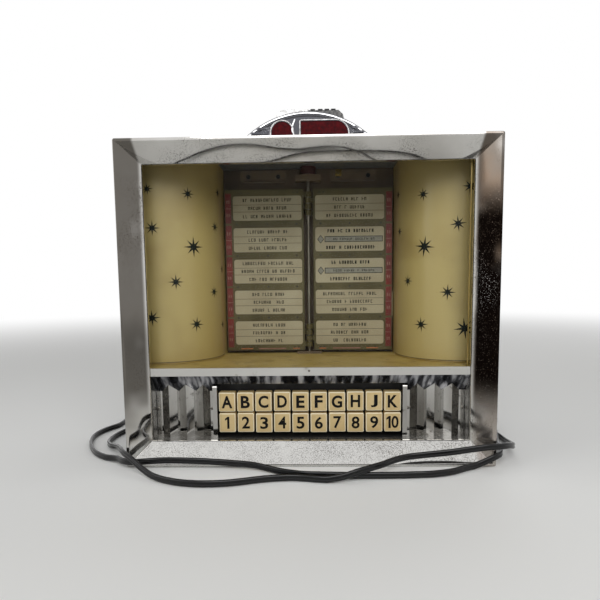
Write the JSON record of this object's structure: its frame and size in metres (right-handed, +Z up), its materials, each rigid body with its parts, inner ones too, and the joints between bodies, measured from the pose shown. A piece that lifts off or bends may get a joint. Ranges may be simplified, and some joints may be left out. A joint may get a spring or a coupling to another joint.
{
  "type": "jukebox wall box selector",
  "caption": "Counter-top jukebox selector with a chrome window frame, hinged title pages, lettered and numbered push keys, a coin head and a mains cord.",
  "frame": {"origin": "centre of the footprint of the case and frame, on the surface that it stands on", "axes": "+X to the viewer's right, +Y from the window to the back, +Z up"},
  "size_m": [0.4063, 0.272, 0.312],
  "materials": {
    "case_paint": "semi-gloss",
    "plate_steel": "satin",
    "frame_chrome": "polished, worn and pitted",
    "window_glass": "clear",
    "ledge_aluminium": "satin",
    "canopy_chrome": "polished",
    "shelf_paint": "satin",
    "back_panel_paint": "matt",
    "wing_paint": "satin, star pattern",
    "grille_chrome": "polished",
    "cheek_chrome": "worn",
    "hub_plastic": "semi-gloss",
    "key_frame_paint": "matt",
    "spring_steel": "bright",
    "board_plastic": "phenolic board",
    "screw_steel": "plated",
    "head_chrome": "polished, worn",
    "lens_plastic": "translucent red",
    "coin_plate_steel": "satin",
    "chute_steel": "zinc plated",
    "coin_box_paint": "satin",
    "spine_steel": "darkened",
    "bracket_paint": "satin",
    "page_paint": "satin, olive",
    "title_card": "printed card behind film",
    "socket_plastic": "glazed",
    "bulb_glass": "frosted",
    "transformer_paint": "varnished",
    "relief_rubber": "semi-matt",
    "cord_rubber": "semi-gloss",
    "plug_rubber": "semi-gloss",
    "key_plastic": "ivory, black characters"
  },
  "bodies": {
    "case": {"rear_case": "case_paint", "wall_plate": "plate_steel", "front_frame": "frame_chrome", "window_glass": "window_glass", "ledge_strip": "ledge_aluminium", "canopy": "canopy_chrome", "shelf": "shelf_paint", "back_panel": "back_panel_paint", "left_wing_panel": "wing_paint", "right_wing_panel": "wing_paint", "left_pleated_grille": "grille_chrome", "right_pleated_grille": "grille_chrome", "key_cheeks": "cheek_chrome", "spine_hub": "hub_plastic", "key_frame": "key_frame_paint", "key_springs": "spring_steel", "contact_board": "board_plastic", "small_screws": "screw_steel", "coin_head": "head_chrome", "coin_head_lenses": "lens_plastic", "coin_plate": "coin_plate_steel", "coin_chute": "chute_steel", "coin_box": "coin_box_paint", "spine_rod": "spine_steel", "spine_brackets": "bracket_paint", "end_pages": "page_paint", "end_page_strips": "title_card", "lamp_sockets": "socket_plastic", "lamp_bulbs": "bulb_glass", "transformer": "transformer_paint", "strain_relief": "relief_rubber", "cord": "cord_rubber", "cord_coil": "cord_rubber", "plug": "plug_rubber"},
    "left_leaves": {"left_rear_leaf": "page_paint", "left_front_leaf": "page_paint", "left_leaf_strips": "title_card"},
    "right_leaves": {"right_rear_leaf": "page_paint", "right_front_leaf": "page_paint", "right_leaf_strips": "title_card"},
    "key_a_button": {"key_a": "key_plastic"},
    "key_b_button": {"key_b": "key_plastic"},
    "key_c_button": {"key_c": "key_plastic"},
    "key_d_button": {"key_d": "key_plastic"},
    "key_e_button": {"key_e": "key_plastic"},
    "key_f_button": {"key_f": "key_plastic"},
    "key_g_button": {"key_g": "key_plastic"},
    "key_h_button": {"key_h": "key_plastic"},
    "key_j_button": {"key_j": "key_plastic"},
    "key_k_button": {"key_k": "key_plastic"},
    "key_1_button": {"key_1": "key_plastic"},
    "key_2_button": {"key_2": "key_plastic"},
    "key_3_button": {"key_3": "key_plastic"},
    "key_4_button": {"key_4": "key_plastic"},
    "key_5_button": {"key_5": "key_plastic"},
    "key_6_button": {"key_6": "key_plastic"},
    "key_7_button": {"key_7": "key_plastic"},
    "key_8_button": {"key_8": "key_plastic"},
    "key_9_button": {"key_9": "key_plastic"},
    "key_10_button": {"key_10": "key_plastic"}
  },
  "joints": [
    {"name": "left_pages_turn", "type": "hinge", "parent": "case", "child": "left_leaves", "pos_m": [0, 0.038, 0.16], "axis": [0, 0, 1], "range_deg": [0, 180]},
    {"name": "right_pages_turn", "type": "hinge", "parent": "case", "child": "right_leaves", "pos_m": [0, 0.038, 0.16], "axis": [0, 0, 1], "range_deg": [-180, 0]},
    {"name": "key_a_press", "type": "slide", "parent": "case", "child": "key_a_button", "axis": [0, 1, 0], "range_m": [0, 0.004], "stiffness_N_per_m": 150},
    {"name": "key_b_press", "type": "slide", "parent": "case", "child": "key_b_button", "axis": [0, 1, 0], "range_m": [0, 0.004], "stiffness_N_per_m": 150},
    {"name": "key_c_press", "type": "slide", "parent": "case", "child": "key_c_button", "axis": [0, 1, 0], "range_m": [0, 0.004], "stiffness_N_per_m": 150},
    {"name": "key_d_press", "type": "slide", "parent": "case", "child": "key_d_button", "axis": [0, 1, 0], "range_m": [0, 0.004], "stiffness_N_per_m": 150},
    {"name": "key_e_press", "type": "slide", "parent": "case", "child": "key_e_button", "axis": [0, 1, 0], "range_m": [0, 0.004], "stiffness_N_per_m": 150},
    {"name": "key_f_press", "type": "slide", "parent": "case", "child": "key_f_button", "axis": [0, 1, 0], "range_m": [0, 0.004], "stiffness_N_per_m": 150},
    {"name": "key_g_press", "type": "slide", "parent": "case", "child": "key_g_button", "axis": [0, 1, 0], "range_m": [0, 0.004], "stiffness_N_per_m": 150},
    {"name": "key_h_press", "type": "slide", "parent": "case", "child": "key_h_button", "axis": [0, 1, 0], "range_m": [0, 0.004], "stiffness_N_per_m": 150},
    {"name": "key_j_press", "type": "slide", "parent": "case", "child": "key_j_button", "axis": [0, 1, 0], "range_m": [0, 0.004], "stiffness_N_per_m": 150},
    {"name": "key_k_press", "type": "slide", "parent": "case", "child": "key_k_button", "axis": [0, 1, 0], "range_m": [0, 0.004], "stiffness_N_per_m": 150},
    {"name": "key_1_press", "type": "slide", "parent": "case", "child": "key_1_button", "axis": [0, 1, 0], "range_m": [0, 0.004], "stiffness_N_per_m": 150},
    {"name": "key_2_press", "type": "slide", "parent": "case", "child": "key_2_button", "axis": [0, 1, 0], "range_m": [0, 0.004], "stiffness_N_per_m": 150},
    {"name": "key_3_press", "type": "slide", "parent": "case", "child": "key_3_button", "axis": [0, 1, 0], "range_m": [0, 0.004], "stiffness_N_per_m": 150},
    {"name": "key_4_press", "type": "slide", "parent": "case", "child": "key_4_button", "axis": [0, 1, 0], "range_m": [0, 0.004], "stiffness_N_per_m": 150},
    {"name": "key_5_press", "type": "slide", "parent": "case", "child": "key_5_button", "axis": [0, 1, 0], "range_m": [0, 0.004], "stiffness_N_per_m": 150},
    {"name": "key_6_press", "type": "slide", "parent": "case", "child": "key_6_button", "axis": [0, 1, 0], "range_m": [0, 0.004], "stiffness_N_per_m": 150},
    {"name": "key_7_press", "type": "slide", "parent": "case", "child": "key_7_button", "axis": [0, 1, 0], "range_m": [0, 0.004], "stiffness_N_per_m": 150},
    {"name": "key_8_press", "type": "slide", "parent": "case", "child": "key_8_button", "axis": [0, 1, 0], "range_m": [0, 0.004], "stiffness_N_per_m": 150},
    {"name": "key_9_press", "type": "slide", "parent": "case", "child": "key_9_button", "axis": [0, 1, 0], "range_m": [0, 0.004], "stiffness_N_per_m": 150},
    {"name": "key_10_press", "type": "slide", "parent": "case", "child": "key_10_button", "axis": [0, 1, 0], "range_m": [0, 0.004], "stiffness_N_per_m": 150}
  ]
}
